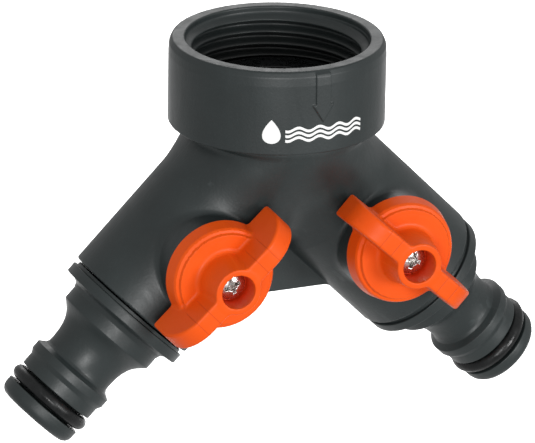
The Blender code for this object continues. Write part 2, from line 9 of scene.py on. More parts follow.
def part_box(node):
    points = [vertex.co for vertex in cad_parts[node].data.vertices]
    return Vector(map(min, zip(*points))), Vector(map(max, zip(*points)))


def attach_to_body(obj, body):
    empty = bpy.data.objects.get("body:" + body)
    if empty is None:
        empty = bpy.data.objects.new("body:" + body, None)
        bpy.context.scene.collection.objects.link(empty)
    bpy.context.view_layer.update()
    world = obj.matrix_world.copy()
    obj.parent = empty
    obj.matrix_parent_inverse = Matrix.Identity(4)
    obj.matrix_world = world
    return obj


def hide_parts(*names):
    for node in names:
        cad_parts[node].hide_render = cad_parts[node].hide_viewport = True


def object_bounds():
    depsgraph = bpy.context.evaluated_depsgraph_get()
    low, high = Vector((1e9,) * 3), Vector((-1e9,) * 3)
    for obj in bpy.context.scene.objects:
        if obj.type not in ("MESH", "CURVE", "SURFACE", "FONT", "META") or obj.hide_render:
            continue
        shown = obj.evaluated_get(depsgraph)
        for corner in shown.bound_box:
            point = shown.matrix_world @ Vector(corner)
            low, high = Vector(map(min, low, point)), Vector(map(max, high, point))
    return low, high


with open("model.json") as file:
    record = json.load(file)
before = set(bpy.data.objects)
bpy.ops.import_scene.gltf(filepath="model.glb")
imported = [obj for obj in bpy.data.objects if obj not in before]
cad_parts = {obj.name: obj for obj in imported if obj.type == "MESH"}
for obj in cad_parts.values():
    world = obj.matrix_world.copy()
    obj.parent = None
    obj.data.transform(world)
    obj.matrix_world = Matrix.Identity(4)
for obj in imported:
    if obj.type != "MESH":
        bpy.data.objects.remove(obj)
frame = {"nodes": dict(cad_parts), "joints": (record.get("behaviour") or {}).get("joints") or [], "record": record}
CAD_LOW, CAD_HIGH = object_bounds()

# Looks of the hose splitter. The builders work in millimetres in the row frame: origin at the
# centre of the inlet mouth, +Z out of the mouth, levers facing -Y. Meshes are stored in metres.
MM = 0.001
SIDES = {"left": -1.0, "right": 1.0}
TAPS = {j["name"].split("_")[0]: Vector(j["pos_m"]) / MM for j in frame["joints"] if "range_deg" in j}

# Layout of the arms, from the tap axes of the frame
ARM_ANGLE = math.radians(44.5)
SIN, COS = math.sin(ARM_ANGLE), math.cos(ARM_ANGLE)
VALVE_S = TAPS["right"].x / SIN
JUNCTION_Z = TAPS["right"].z + VALVE_S * COS

# Inlet collar
COLLAR_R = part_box("inlet_nut")[1].x / MM
COLLAR_H = -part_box("inlet_nut")[0].z / MM
MOUTH_R = 16.75
THREAD_MAJOR_R = 16.63
THREAD_MINOR_R = 15.15
THREAD_PITCH = 2.309
THREAD_CREST = 2.2
THREAD_AZIMUTH = math.radians(67.35)
THREAD_START = 1.25
THREAD_END = 10.0
LIP_R = 12.75
LIP_TOP = 13.2
ARROW_AZIMUTH = math.radians(-87.7)
ARROW_HALF = 1.4
ARROW_BARB_HALF = 2.1
ARROW_SHAFT_END = 6.2
ARROW_TIP = 9.6
ARROW_PROUD = 0.34

# White print on the collar, measured round the wall and upwards from the middle of the drop
MARK_AZIMUTH = math.radians(-115.0)
MARK_Z = -11.2
DROP_LOW, DROP_TOP = -2.1, 2.4
DROP_WIDTH = 4.3
RIPPLE_START, RIPPLE_STOP = 2.5, 17.9
RIPPLE_LENGTH = 3.9
RIPPLE_SWING = 0.34
RIPPLE_LOWERED = 0.4
RIPPLE_BAND = 1.35
RIPPLE_FOLD = 0.45
RIPPLE_GAP = 0.19

# Washer
WASHER_R = 14.4
WASHER_HOLE_R = 8.8

# Manifold body
NECK_TOP = 11.4
FLANGE_R = 13.5
FLANGE_UNDER = 12.9
NECK_R = 12.4
SHOULDER_R = 17.4
SHOULDER_TOP = 15.9
SHOULDER_LOW = 16.7
INLET_BORE_R = 8.0
ARM_R = 13.0
ARM_END = 39.74
BLEND_S = 16.0
BLEND_TOP_Z = -16.45
BLEND_TOP_HALF_Y = 17.4
BRANCH_R = 5.0
WEB_T = 3.0
WEB_LOW_Z = -49.0
WEB_HALF = 12.2
CHAMBER_R = 9.0
CHAMBER_START = 16.3
BOSS_R = 9.5
BOSS_FACE = 15.6
STEM_BORE_R = 4.6
STEM_POCKET_R = 5.9
STEM_POCKET_Y = 10.5

# Lever and its screw
LEVER_H = 10.35
LEVER_HOLE_R = 1.75
SOCKET_HALF = 2.65
SOCKET_DEPTH = 4.6
DISC_R = 10.08
DISC_H = 3.9
HUB_TOP_R = 4.25
HUB_BASE_R = 5.3
COUNTERBORE_R = 3.15
COUNTERBORE_FLOOR = 5.6
WING_L = 14.75
WING_ROUND = 6.8
WING_HALF_BASE = 2.35
WING_HALF_TOP = 1.9
WING_LINES = (6.2, 9.1)
DISC_LINE_R = 7.8
LEVER_PLAY = {"left": math.radians(2.3), "right": math.radians(-3.0)}
LEVER_LIFT = {"left": 0.15, "right": 0.4}
SCREW_HEAD_R = 2.75
SCREW_HEAD_H = 1.6
SCREW_R = 1.4
SCREW_TIP = -3.0
SCREW_TURN = {"left": math.radians(25.0), "right": math.radians(63.0)}

# Outlet nipple: radii, and distances from the end of the arm
NIPPLE_BORE_R = 4.6
NIPPLE_END = 27.0
ORING_MIDDLE = 22.35
ORING_R = 7.0
ORING_SECTION = 1.3
GROOVE_R = 5.6

# Mesh sizes
BODY_STEP = 0.4
LEVER_STEP = 0.17
SCREW_STEP = 0.09
SLOPE_REACH = 0.02


def smooth_min(a, b, k):
    """Union of two distances, blended where they are less than k apart."""
    h = np.maximum(k - np.abs(a - b), 0.0) / k
    return np.minimum(a, b) - h * h * k / 4


def smooth_max(a, b, k):
    """Intersection of two distances, blended where they are less than k apart."""
    return -smooth_min(-a, -b, k)


def rounded(a, b, radius):
    """Intersection of two distances with a round edge of that radius."""
    u, v = a + radius, b + radius
    return np.minimum(np.maximum(u, v), 0.0) + np.hypot(np.maximum(u, 0), np.maximum(v, 0)) - radius


def disc(radial, height, radius, low, high, edge):
    """Round rod along height, between low and high."""
    middle, half = (low + high) / 2, (high - low) / 2
    return rounded(radial - radius, np.abs(height - middle) - half, edge)


def polygon(u, v, points):
    """Exact signed distance to a closed outline in the (u, v) plane."""
    best = np.full(u.shape, 1e9, u.dtype)
    sign = np.ones(u.shape, u.dtype)
    for (ax, ay), (bx, by) in zip(points, points[1:] + points[:1]):
        ex, ey = bx - ax, by - ay
        wx, wy = u - ax, v - ay
        t = np.clip((wx * ex + wy * ey) / (ex * ex + ey * ey), 0.0, 1.0)
        best = np.minimum(best, (wx - ex * t) ** 2 + (wy - ey * t) ** 2)
        above, below = v >= ay, v < by
        left = ex * wy > ey * wx
        flip = (above & below & left) | (~above & ~below & ~left)
        sign = np.where(flip, -sign, sign)
    return sign * np.sqrt(best)


def surface_net(distance, low, high, step):
    """Quad mesh on the zero level of a distance function, as vertices, quads and exact normals."""
    axes = [np.arange(lo, hi + step, step, dtype=np.float32) for lo, hi in zip(low, high)]
    x, y, z = (a.reshape([-1 if i == k else 1 for i in range(3)]) for k, a in enumerate(axes))
    shape = tuple(len(a) for a in axes)
    x, y, z = (np.broadcast_to(a, shape).ravel() for a in (x, y, z))
    field = distance(x, y, z).reshape(shape)
    inside = field < 0
    corner_steps = [(i, j, k) for i in (0, 1) for j in (0, 1) for k in (0, 1)]
    cells = tuple(n - 1 for n in shape)

    def corner(array, offset):
        return array[tuple(slice(o, o + n) for o, n in zip(offset, cells))]

    count = sum(corner(inside, o).astype(np.int8) for o in corner_steps)
    active = (count > 0) & (count < 8)
    index = np.full(cells, -1, np.int64)
    index[active] = np.arange(active.sum())
    where = np.argwhere(active)
    values = {o: corner(field, o)[active].astype(float) for o in corner_steps}
    total = np.zeros((len(where), 3))
    hits = np.zeros(len(where))
    for a in corner_steps:
        for axis in range(3):
            if a[axis]:
                continue
            b = tuple(v + (i == axis) for i, v in enumerate(a))
            fa, fb = values[a], values[b]
            cross = (fa < 0) != (fb < 0)
            t = np.where(cross, fa / np.where(cross, fa - fb, 1.0), 0.0)
            point = np.tile(np.array(a, float), (len(where), 1))
            point[:, axis] += t
            total += point * cross[:, None]
            hits += cross
    verts = np.array(low) + step * (where + total / hits[:, None])

    quads = []
    for axis in range(3):
        u, v = (axis + 1) % 3, (axis + 2) % 3
        first = [slice(1, n) for n in cells]
        first[axis] = slice(0, cells[axis])
        second = list(first)
        second[axis] = slice(1, cells[axis] + 1)
        start, end = inside[tuple(first)], inside[tuple(second)]
        for outward in (True, False):
            pick = np.argwhere(start & ~end if outward else ~start & end)
            for other in (u, v):
                pick[:, other] += 1
            ring = []
            for du, dv in ((0, 0), (-1, 0), (-1, -1), (0, -1)):
                cell = pick.copy()
                cell[:, u] += du
                cell[:, v] += dv
                ring.append(index[cell[:, 0], cell[:, 1], cell[:, 2]])
            quad = np.stack(ring, 1)
            quads.append(quad if outward else quad[:, ::-1])
    quads = np.concatenate(quads)
    return *settle(distance, verts, step), quads


def settle(distance, verts, step, rounds=4):
    """Move vertices onto the zero level along its slope, and return them with the unit slopes."""

    def slope():
        parts = []
        for axis in range(3):
            ends = []
            for way in (SLOPE_REACH, -SLOPE_REACH):
                moved = verts.copy()
                moved[:, axis] += way
                ends.append(distance(*moved.T))
            parts.append((ends[0] - ends[1]) / (2 * SLOPE_REACH))
        return np.stack(parts, 1)

    for _ in range(rounds):
        g = slope()
        size = np.maximum((g * g).sum(1), 0.05)
        move = -g * (distance(*verts.T) / size)[:, None]
        length = np.maximum(np.linalg.norm(move, axis=1), 1e-9)
        verts = verts + move * np.minimum(1.0, 0.5 * step / length)[:, None]
    g = slope()
    return verts, g / np.maximum(np.linalg.norm(g, axis=1), 1e-9)[:, None]


def make_object(name, verts, faces, normals=None, matrix=None):
    """Mesh object from millimetre vertices, smooth shaded, with its own normals where given."""
    mesh = bpy.data.meshes.new(name)
    mesh.from_pydata((np.asarray(verts) * MM).tolist(), [], faces)
    mesh.shade_smooth()
    if normals is not None:
        mesh.normals_split_custom_set_from_vertices(np.asarray(normals).tolist())
    obj = bpy.data.objects.new(name, mesh)
    bpy.context.scene.collection.objects.link(obj)
    if matrix is not None:
        obj.matrix_world = matrix
    return obj


def weld(verts, normals, quads):
    """Join vertices that settled within a micron of each other, and drop what that flattens."""
    _, first, joined = np.unique(np.round(verts, 3), axis=0, return_index=True, return_inverse=True)
    faces = []
    for quad in joined.reshape(-1)[quads].tolist():
        ring = [v for v, before in zip(quad, quad[-1:] + quad[:-1]) if v != before]
        if len(ring) > 2 and len(set(ring)) == len(ring):
            faces.append(ring)
    return verts[first], normals[first], faces


def from_distance(name, distance, low, high, step, matrix=None):
    verts, normals, faces = weld(*surface_net(distance, low, high, step))
    return make_object(name, verts, faces, normals, matrix)


def fillet(points, steps=5):
    """Closed outline of (r, z, corner radius) with each corner drawn as an arc."""
    out = []
    count = len(points)
    for i, (r, z, radius) in enumerate(points):
        here = Vector((r, z))
        if radius <= 0:
            out.append((r, z))
            continue
        a = (Vector(points[i - 1][:2]) - here).normalized()
        b = (Vector(points[(i + 1) % count][:2]) - here).normalized()
        half = math.acos(max(-1.0, min(1.0, a.dot(b)))) / 2
        reach = radius / math.tan(half)
        centre = here + (a + b).normalized() * (radius / math.sin(half))
        start, end = here + a * reach - centre, here + b * reach - centre
        turn = start.angle_signed(end)
        for k in range(steps + 1):
            spin = Matrix.Rotation(-turn * k / steps, 2)
            out.append(tuple(centre + spin @ start))
    return out


def spread_rows(points, spacing):
    """Closed outline with its long straight runs divided to the spacing."""
    out = []
    for (r0, z0), (r1, z1) in zip(points, points[1:] + points[:1]):
        parts = max(1, math.ceil(math.hypot(r1 - r0, z1 - z0) / spacing))
        out += [(r0 + (r1 - r0) * i / parts, z0 + (z1 - z0) * i / parts) for i in range(parts)]
    return out


def through(points, steps=6):
    """Smooth curve through the given points (Catmull-Rom)."""
    ends = [points[0], *points, points[-1]]
    out = []
    for p0, p1, p2, p3 in zip(ends, ends[1:], ends[2:], ends[3:]):
        for i in range(steps):
            t = i / steps
            out.append(tuple(0.5 * (2 * b + (c - a) * t + (2 * a - 5 * b + 4 * c - d) * t * t
                                    + (3 * b - a - 3 * c + d) * t ** 3)
                             for a, b, c, d in zip(p0, p1, p2, p3)))
    return out + [points[-1]]


def lathe(name, rows, angles, matrix=None, shape=None):
    """Closed grid: rows of (r, z) turned through the angles, laid out by the matrix in the row
    frame. shape(r, z, a) may move the radius."""
    r = np.array([p[0] for p in rows])[:, None] * np.ones(len(angles))
    z = np.array([p[1] for p in rows])[:, None] * np.ones(len(angles))
    a = np.ones(len(rows))[:, None] * np.asarray(angles)
    if shape is not None:
        r = shape(r, z, a)
    verts = np.stack([r * np.cos(a), r * np.sin(a), z], -1).reshape(-1, 3)
    if matrix is not None:
        spot = np.array(matrix.translation) / MM
        verts = verts @ np.array(matrix.to_3x3()).T + spot
    rows_n, cols_n = r.shape
    i, j = np.meshgrid(np.arange(rows_n), np.arange(cols_n), indexing="ij")
    i2, j2 = (i + 1) % rows_n, (j + 1) % cols_n
    quads = np.stack([i * cols_n + j, i2 * cols_n + j, i2 * cols_n + j2, i * cols_n + j2], -1)
    area = sum((p[0] - q[0]) * (p[1] + q[1]) for p, q in zip(rows, rows[1:] + rows[:1]))
    quads = quads.reshape(-1, 4)
    return make_object(name, verts, (quads[:, ::-1] if area > 0 else quads).tolist())


def even_angles(count):
    return np.arange(count) * 2 * math.pi / count


def arm_matrix(sign, along=0.0):
    """Local +Z runs down the arm from a point on its axis; local Y stays Y."""
    axis = Vector((sign * SIN, 0.0, -COS))
    spot = (Vector((0.0, 0.0, JUNCTION_Z)) + axis * along) * MM
    side = Vector((0.0, 1.0, 0.0)).cross(axis)
    turn = Matrix((side, (0.0, 1.0, 0.0), axis)).transposed()
    return Matrix.Translation(spot) @ turn.to_4x4()


def valve_matrix(side, play=0.0):
    """Local +Z points out of the lever's face and local +X down the arm, turned by the play. The
    spot lies on the tap axis, lifted across the arm by the side's own amount."""
    sign = SIDES[side]
    z_axis = Vector((0.0, -1.0, 0.0))
    x_axis = Matrix.Rotation(play, 3, "Y") @ Vector((sign * SIN, 0.0, -COS))
    turn = Matrix((x_axis, z_axis.cross(x_axis), z_axis)).transposed()
    lift = Vector((sign * COS, 0.0, SIN)) * LEVER_LIFT[side]
    return Matrix.Translation((TAPS[side] + lift) * MM) @ turn.to_4x4()


# ---------------------------------------------------------------- shapes


def arm_distance(x, y, z, sign):
    """One arm: a loft from the ellipse under the collar to the round arm, then straight."""
    top, end = BLEND_TOP_Z, BLEND_S
    o1 = (end * SIN + ARM_R * COS, JUNCTION_Z - end * COS + ARM_R * SIN)
    i1 = (end * SIN - ARM_R * COS, JUNCTION_Z - end * COS - ARM_R * SIN)
    o0 = (o1[0] - (top - o1[1]) / COS * SIN, top)
    i0 = (-o0[0], top)
    e = (i1[0] - i0[0], i1[1] - i0[1])
    f = (o0[0] - i0[0], o0[1] - i0[1])
    g = (o1[0] - o0[0] - e[0], o1[1] - o0[1] - e[1])
    hx, hz = sign * x - i0[0], z - i0[1]
    qa = -(e[0] * g[1] - e[1] * g[0])
    qb = hx * g[1] - hz * g[0] - (e[0] * f[1] - e[1] * f[0])
    qc = hx * f[1] - hz * f[0]
    root = np.sqrt(np.maximum(qb * qb - 4 * qa * qc, 1.0))
    t = np.clip(2 * qc / (root - qb), 0.0, 1.0)
    sx, sz = f[0] + g[0] * t, f[1] + g[1] * t
    length = np.hypot(sx, sz)
    w = ((hx - e[0] * t) * sx + (hz - e[1] * t) * sz) / length
    a = length / 2
    b = BLEND_TOP_HALF_Y + (ARM_R - BLEND_TOP_HALF_Y) * t * t * (3 - 2 * t)
    u, v = (w - a) / a, y / b
    q = np.sqrt(u * u + v * v) + 1e-6
    wall = (q - 1) * q / np.sqrt((u / a) ** 2 + (v / b) ** 2 + 1e-9)
    along = sign * x * SIN - (z - JUNCTION_Z) * COS
    return rounded(np.maximum(wall, z - top), along - ARM_END, 0.4)


def body_distance(x, y, z):
    """Manifold body: two arms, shoulder, web, neck and valve bosses, less the water ways."""
    body = smooth_min(arm_distance(x, y, z, 1.0), arm_distance(x, y, z, -1.0), 2.4)
    round_r = np.hypot(x, y)
    shoulder = disc(round_r, z, SHOULDER_R, -SHOULDER_LOW, -SHOULDER_TOP, 0.35)
    body = smooth_min(body, shoulder, 1.2)
    web = np.maximum(rounded(np.abs(y) - WEB_T / 2, WEB_LOW_Z - z, 0.35), np.abs(x) - WEB_HALF)
    body = smooth_min(body, np.maximum(web, z + 30.0), 0.7)
    neck = np.minimum(disc(round_r, z, NECK_R, -18.0, -NECK_TOP - 0.6, 0.1),
                      disc(round_r, z, FLANGE_R, -FLANGE_UNDER, -NECK_TOP, 0.3))
    body = np.minimum(body, neck)
    ways = np.maximum(round_r - INLET_BORE_R, JUNCTION_Z - z)
    for sign in SIDES.values():
        along = sign * x * SIN - (z - JUNCTION_Z) * COS
        outward = sign * x * COS + (z - JUNCTION_Z) * SIN
        boss = disc(np.hypot(along - VALVE_S, outward), -y, BOSS_R, 6.0, BOSS_FACE, 0.45)
        body = smooth_min(body, boss, 0.9)
        radial = np.hypot(outward, y)
        stem_radial = np.hypot(along - VALVE_S, outward)
        stem = np.maximum(stem_radial - STEM_BORE_R, y)
        pocket = np.maximum(stem_radial - STEM_POCKET_R, np.maximum(y, -y - STEM_POCKET_Y))
        branch = np.maximum(radial - BRANCH_R, -along)
        chamber = np.maximum(radial - CHAMBER_R, CHAMBER_START - along)
        for way in (branch, chamber, stem, pocket):
            ways = np.minimum(ways, way)
    return smooth_max(body, -ways, 0.5)


def lever_distance(x, y, z):
    """Lever: stepped disc, hub and two wings, with the screw's well and the stem's square socket."""
    radial = np.hypot(x, y)
    rim = [(0.0, 0.0), (DISC_R - 0.3, 0.0), (DISC_R, 0.3), (9.55, 2.85), (9.3, 3.25), (8.75, 3.4),
           (8.55, DISC_H), (0.0, DISC_H)]
    plate = polygon(radial, z, rim)
    slant = (HUB_BASE_R - HUB_TOP_R) / (LEVER_H - DISC_H)
    hub = (radial - HUB_TOP_R - slant * (LEVER_H - z)) / math.hypot(1.0, slant)
    hub = rounded(hub, z - LEVER_H, 0.3)
    u, v = np.abs(x) - WING_L, z - LEVER_H
    side = np.minimum(np.maximum(u, v) + WING_ROUND, 0.0)
    side = side + np.hypot(np.maximum(u + WING_ROUND, 0), np.maximum(v + WING_ROUND, 0)) - WING_ROUND
    half = WING_HALF_BASE + (WING_HALF_TOP - WING_HALF_BASE) * z / LEVER_H
    wings = rounded(side, np.abs(y) - half, 0.55)
    lever = smooth_min(smooth_min(plate, hub, 0.9), wings, 0.7)
    lever = rounded(rounded(lever, z - LEVER_H, 0.3), -z, 0.25)
    bore = np.maximum(radial - COUNTERBORE_R + 0.03 * (LEVER_H - z) / 5, COUNTERBORE_FLOOR - z)
    chamfer = (radial - COUNTERBORE_R - 0.1 - (z - LEVER_H)) * math.sqrt(0.5)
    hole = np.minimum(np.minimum(bore, chamfer), np.maximum(radial - LEVER_HOLE_R, 1.0 - z))
    socket = np.maximum(np.maximum(np.abs(x), np.abs(y)) - SOCKET_HALF, z - SOCKET_DEPTH)
    return smooth_max(lever, -np.minimum(hole, socket), 0.25)


def screw_distance(x, y, z):
    """Screw: crowned head with a cross recess, and a threaded, pointed shank."""
    radial = np.hypot(x, y)
    under = COUNTERBORE_FLOOR + 0.1
    top = under + SCREW_HEAD_H
    crown = np.sqrt(radial ** 2 + (z - top + 4.6) ** 2) - 4.6
    head = smooth_max(disc(radial, z, SCREW_HEAD_R, under, top + 1.0, 0.15), crown, 0.3)
    turn = np.arctan2(y, x) / (2 * math.pi)
    ridge = np.abs((z / 1.1 - turn) % 1.0 - 0.5) * 2
    shank = radial - SCREW_R + 0.3 * np.clip(1.3 - 1.6 * ridge, 0.0, 1.0)
    point = (radial - 0.35 - 0.9 * (z - SCREW_TIP)) * 0.74
    shank = np.maximum(np.maximum(shank, point), np.maximum(z - under - 0.3, SCREW_TIP - z))
    depth = np.maximum(top - z, 0.0)
    slots = []
    for u, v in ((x, y), (y, x)):
        slots.append(np.maximum(np.abs(u) - 1.65 + 0.55 * depth, np.abs(v) - 0.38 + 0.1 * depth))
    middle = radial - 0.95 + 0.45 * depth
    recess = np.maximum(np.minimum(np.minimum(*slots), middle), top - 1.25 - z)
    return smooth_max(np.minimum(head, shank), -recess, 0.1)


def build_body():
    low = (-37.8, -19.0, -58.0)
    high = (37.8, 19.0, -10.8)
    return from_distance("body_shell", body_distance, low, high, BODY_STEP)


def arrow_height(along, down):
    """How far the raised arrow stands out at a point of the unrolled collar wall."""
    half = np.where(down < ARROW_SHAFT_END, ARROW_HALF,
                    ARROW_BARB_HALF * (ARROW_TIP - down) / (ARROW_TIP - ARROW_SHAFT_END))
    inside = np.minimum(half - np.abs(along), ARROW_TIP - down)
    return ARROW_PROUD * np.clip(0.5 + inside / 0.12, 0.0, 1.0)


def collar_shape(r, z, a):
    """Thread on the inner wall and arrow on the outer wall of the collar."""
    depth = -z
    phase = (depth - THREAD_CREST) / THREAD_PITCH + (a - THREAD_AZIMUTH) / (2 * math.pi)
    tooth = (THREAD_MAJOR_R - THREAD_MINOR_R) * (0.5 + 0.5 * np.cos(2 * math.pi * phase)) ** 1.15
    lead = MOUTH_R - 2.2 * (depth - THREAD_START)
    tail = THREAD_MINOR_R + 1.6 * (depth - THREAD_END + 1.0)
    cut = np.maximum(THREAD_MAJOR_R - tooth, np.maximum(lead, tail))
    threaded = (np.abs(r - THREAD_MAJOR_R) < 0.02) & (depth > THREAD_START) & (depth < THREAD_END)
    r = np.where(threaded, np.minimum(cut, THREAD_MAJOR_R), r)
    along = ((a - ARROW_AZIMUTH + math.pi) % (2 * math.pi) - math.pi) * COLLAR_R
    proud = arrow_height(along, depth) * np.clip((depth - 0.25) / 0.3, 0.0, 1.0)
    return r + np.where(r > COLLAR_R - 0.8, proud, 0.0)


def build_collar():
    rim = [(MOUTH_R, 0.0, 0.3), (COLLAR_R - 0.6, 0.0, 0.45), (COLLAR_R - 0.12, -1.0, 0.9),
           (COLLAR_R, -2.6, 1.2), (COLLAR_R, -COLLAR_H, 0.3),
           (LIP_R, -COLLAR_H, 0.4), (LIP_R, -LIP_TOP, 0.2), (THREAD_MAJOR_R, -LIP_TOP, 0.3),
           (THREAD_MAJOR_R, -THREAD_START, 0.0), (MOUTH_R, -THREAD_START + 0.3, 0.1)]
    rows = spread_rows(fillet(rim), 0.17)
    fine = ARROW_AZIMUTH + np.linspace(-2.4, 2.4, 64) / COLLAR_R
    coarse = np.linspace(fine[-1], fine[0] + 2 * math.pi, 300)[1:-1]
    return lathe("collar_shell", rows, np.concatenate([fine, coarse]), shape=collar_shape)


def build_washer():
    low, high = (corner.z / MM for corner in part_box("inlet_washer"))
    ring = [(WASHER_HOLE_R, high, 0.25), (WASHER_R, high, 0.4), (WASHER_R, low, 0.4),
            (WASHER_HOLE_R, low, 0.25)]
    return lathe("washer_ring", spread_rows(fillet(ring, 6), 0.5), even_angles(160))


def nipple_rows():
    """Closed outline of the nipple: flange, waist, ridge, grooved nose, bore and spigot."""
    waist = through([(9.83, 6.8), (8.2, 8.4), (7.37, 9.9), (6.95, 11.6), (6.8, 13.6), (6.85, 14.6)])
    hip = [(12.8, 0.94, 0.15), (12.8, 2.9, 0.2), (11.2, 2.95, 0.3), (10.2, 3.5, 0.5),
           (9.83, 4.4, 0.5), (9.83, 6.75, 0.1)]
    nose = [(7.15, 15.15, 0.2), (8.3, 15.9, 0.12), (8.3, 17.5, 0.25), (7.8, 18.45, 0.3),
            (7.8, 20.7, 0.12), (GROOVE_R, 20.7, 0.3), (GROOVE_R, 24.0, 0.3), (7.87, 24.0, 0.15),
            (7.87, NIPPLE_END, 1.7), (NIPPLE_BORE_R, NIPPLE_END, 0.2),
            (NIPPLE_BORE_R, -6.5, 0.2), (8.7, -6.5, 0.3), (8.7, -4.4, 0.1), (6.9, -4.4, 0.1),
            (6.9, -2.0, 0.1), (8.7, -2.0, 0.1), (8.7, 0.3, 0.1), (12.1, 0.3, 0.1), (12.1, 0.94, 0.1)]
    line = hip + [(r, z, 0.0) for r, z in waist[1:]] + nose
    return spread_rows(fillet(line, 4), 0.5)


def build_nipple(side):
    matrix = arm_matrix(SIDES[side], ARM_END)
    return lathe(side + "_nipple_shell", nipple_rows(), even_angles(140), matrix)


def build_oring(side):
    """O-ring on the nipple's nose, with the flash line of its mould."""
    section = []
    for i in range(36):
        a = 2 * math.pi * i / 36
        flash = 0.03 if i in (0, 18) else 0.0
        section.append((ORING_R + (ORING_SECTION + flash) * math.cos(a),
                        ORING_MIDDLE - ORING_SECTION * math.sin(a)))
    matrix = arm_matrix(SIDES[side], ARM_END)
    return lathe(side + "_oring_shell", section, even_angles(140), matrix)


def build_pair(kind, distance, low, high, step, turns):
    """One mesh on both valve axes, each copy turned by its own angle."""
    left = from_distance("left_" + kind, distance, low, high, step,
                         valve_matrix("left", turns["left"]))
    right = bpy.data.objects.new("right_" + kind, left.data.copy())
    bpy.context.scene.collection.objects.link(right)
    right.matrix_world = valve_matrix("right", turns["right"])
    return {"left": left, "right": right}


def build_levers():
    reach, width = WING_L + 0.6, DISC_R + 0.6
    low = (-reach, -width, -0.6)
    high = (reach, width, LEVER_H + 0.6)
    return build_pair("lever_shell", lever_distance, low, high, LEVER_STEP, LEVER_PLAY)


def build_screws():
    low = (-3.1, -3.1, SCREW_TIP - 0.3)
    high = (3.1, 3.1, COUNTERBORE_FLOOR + SCREW_HEAD_H + 0.4)
    return build_pair("screw_shell", screw_distance, low, high, SCREW_STEP, SCREW_TURN)


# ---------------------------------------------------------------- materials


class Finish:
    """A node material built on the Principled shader."""

    def __init__(self, name, **constants):
        self.mat = bpy.data.materials.new(name)
        self.mat.use_nodes = True
        self.tree = self.mat.node_tree
        self.shader = self.tree.nodes["Principled BSDF"]
        for socket, value in constants.items():
            self.shader.inputs[socket.replace("_", " ")].default_value = value
        self.place = self.node("ShaderNodeTexCoord").outputs["Object"]

    def feed(self, socket, value):
        if isinstance(value, bpy.types.NodeSocket):
            self.tree.links.new(value, socket)
        else:
            socket.default_value = value

    def node(self, kind, inputs=None, **settings):
        made = self.tree.nodes.new(kind)
        for key, value in settings.items():
            setattr(made, key, value)
        for key, value in (inputs or {}).items():
            self.feed(made.inputs[key], value)
        return made

    def math(self, operation, a, b=0.0, c=0.0):
        return self.node("ShaderNodeMath", {0: a, 1: b, 2: c}, operation=operation).outputs[0]

    def noise(self, scale, detail=3.0, roughness=0.55, distortion=0.0, where=None):
        made = self.node("ShaderNodeTexNoise", {"Vector": where or self.place, "Scale": scale,
                                                "Detail": detail, "Roughness": roughness,
                                                "Distortion": distortion})
        return made.outputs["Fac"]

    def stretch(self, factors):
        scaled = self.node("ShaderNodeVectorMath", {0: self.place, 1: factors}, operation="MULTIPLY")
        return scaled.outputs[0]

    def spread(self, value, low, high, to_low=0.0, to_high=1.0):
        made = self.node("ShaderNodeMapRange", {"Value": value, "From Min": low, "From Max": high,
                                                "To Min": to_low, "To Max": to_high})
        return made.outputs[0]

    def mix(self, factor, a, b, blend="MIX"):
        made = self.node("ShaderNodeMix", data_type="RGBA", blend_type=blend)
        for key, value in ((0, factor), (6, a), (7, b)):
            self.feed(made.inputs[key], value)
        return made.outputs[2]

    def axes(self):
        return self.node("ShaderNodeSeparateXYZ", {0: self.place}).outputs

    def radius(self, x, y):
        squares = self.math("ADD", self.math("MULTIPLY", x, x), self.math("MULTIPLY", y, y))
        return self.math("SQRT", squares)

    def edges(self, low, high):
        """Zero on flat and hollow places, one on sharp edges."""
        point = self.node("ShaderNodeNewGeometry").outputs["Pointiness"]
        return self.spread(point, low, high)

    def bump(self, height, distance, strength=1.0, under=None):
        inputs = {"Height": height, "Distance": distance, "Strength": strength}
        if under is not None:
            inputs["Normal"] = under
        return self.node("ShaderNodeBump", inputs).outputs[0]

    def finish(self, colour, roughness, normal):
        self.feed(self.shader.inputs["Base Color"], colour)
        self.feed(self.shader.inputs["Roughness"], roughness)
        self.feed(self.shader.inputs["Normal"], normal)
        return self.mat


def moulded(name, dark, light, worn, roughness, grain, **constants):
    """Injection-moulded plastic: cloudy tone, spark-eroded grain, paler worn edges, fine scuffs."""
    f = Finish(name, **constants)
    cloud = f.noise(90.0, 4.0, 0.6)
    colour = f.mix(f.spread(cloud, 0.3, 0.7), (*dark, 1.0), (*light, 1.0))
    speck = f.noise(2600.0, 2.0, 0.6)
    colour = f.mix(f.spread(speck, 0.55, 0.8, 0.0, 0.12), colour, (*worn, 1.0))
    wear = f.math("MULTIPLY", f.edges(0.52, 0.6), f.spread(f.noise(420.0), 0.4, 0.7))
    colour = f.mix(f.math("MULTIPLY", wear, 0.35), colour, (*worn, 1.0))
    scuff = f.noise(160.0, 6.0, 0.75, 1.5, f.stretch((1.0, 1.0, 0.25)))
    rough = f.spread(scuff, 0.3, 0.75, roughness - 0.07, roughness + 0.09)
    rough = f.math("SUBTRACT", rough, f.math("MULTIPLY", wear, 0.08))
    fine = f.bump(f.noise(grain, 2.0, 0.5), 0.00004, 0.5)
    return f, colour, rough, f.bump(cloud, 0.0002, 0.15, fine)


GREY_DARK = (0.0150, 0.0200, 0.0202)
GREY_LIGHT = (0.0205, 0.0270, 0.0272)
GREY_WORN = (0.0600, 0.0720, 0.0730)
GREY_SHINE = 0.46


def moulded_grey(name, roughness=0.42):
    return moulded(name, GREY_DARK, GREY_LIGHT, GREY_WORN, roughness, 2200.0,
                   Specular_IOR_Level=GREY_SHINE)


def grey_plastic():
    f, colour, rough, normal = moulded_grey("grey_moulded")
    return f.finish(colour, rough, normal)


